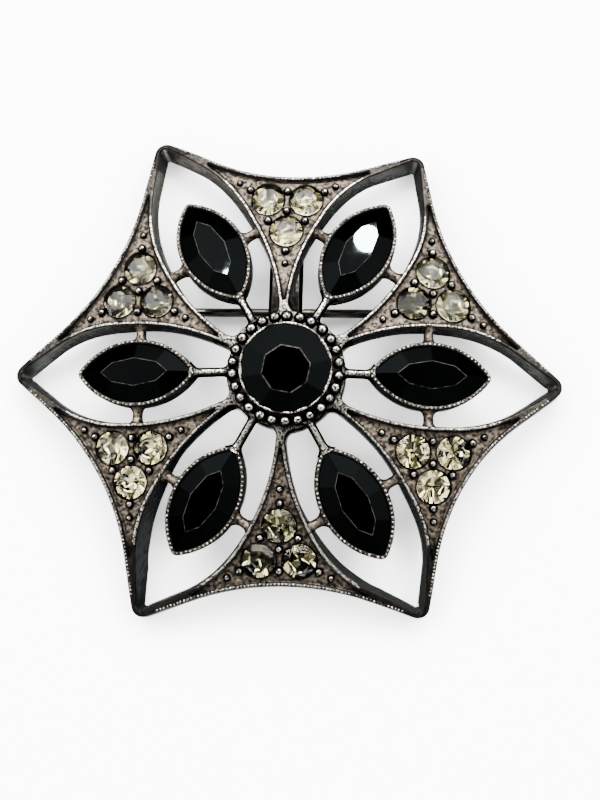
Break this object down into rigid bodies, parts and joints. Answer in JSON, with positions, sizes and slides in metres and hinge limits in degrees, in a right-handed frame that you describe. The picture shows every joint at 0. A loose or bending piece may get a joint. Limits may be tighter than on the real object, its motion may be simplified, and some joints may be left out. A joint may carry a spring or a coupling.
{
  "type": "star brooch",
  "caption": "Domed, pierced six-pointed star brooch of dark metal, set with pointed oval black stones, a round black stone and small clear stones, with a hinged pin behind.",
  "frame": {"origin": "below the middle of the star, level with the backs of its six points, on which it lies", "axes": "+X towards the point of the star on the viewer's right, +Y towards the top, +Z out of the front"},
  "size_m": [0.051, 0.0452, 0.0082],
  "materials": {
    "casting": "cast white metal, antiqued to a dark gunmetal, with rubbed silver rims and beads and a rosy patina in the recesses",
    "black_glass": "polished faceted jet-black glass",
    "clear_stone": "clear faceted glass over a pale foil",
    "pin_wire": "drawn steel wire, dark and worn bright along its top",
    "pin_fittings": "stamped and soldered plated metal, dulled"
  },
  "bodies": {
    "brooch": {"frame": "casting", "centre_stone": "black_glass", "navette_0": "black_glass", "navette_60": "black_glass", "navette_120": "black_glass", "navette_180": "black_glass", "navette_240": "black_glass", "navette_300": "black_glass", "chaton_30_a": "clear_stone", "chaton_30_b": "clear_stone", "chaton_30_c": "clear_stone", "chaton_90_a": "clear_stone", "chaton_90_b": "clear_stone", "chaton_90_c": "clear_stone", "chaton_150_a": "clear_stone", "chaton_150_b": "clear_stone", "chaton_150_c": "clear_stone", "chaton_210_a": "clear_stone", "chaton_210_b": "clear_stone", "chaton_210_c": "clear_stone", "chaton_270_a": "clear_stone", "chaton_270_b": "clear_stone", "chaton_270_c": "clear_stone", "chaton_330_a": "clear_stone", "chaton_330_b": "clear_stone", "chaton_330_c": "clear_stone", "pin_hinge": "pin_fittings", "pin_catch": "pin_fittings"},
    "pin": {"pin_stem": "pin_wire"}
  },
  "joints": [
    {"name": "pin_swing", "type": "hinge", "parent": "brooch", "child": "pin", "pos_m": [-0.0133, 0.0068, 0.00125], "axis": [0, 1, 0], "range_deg": [0, 80]}
  ]
}
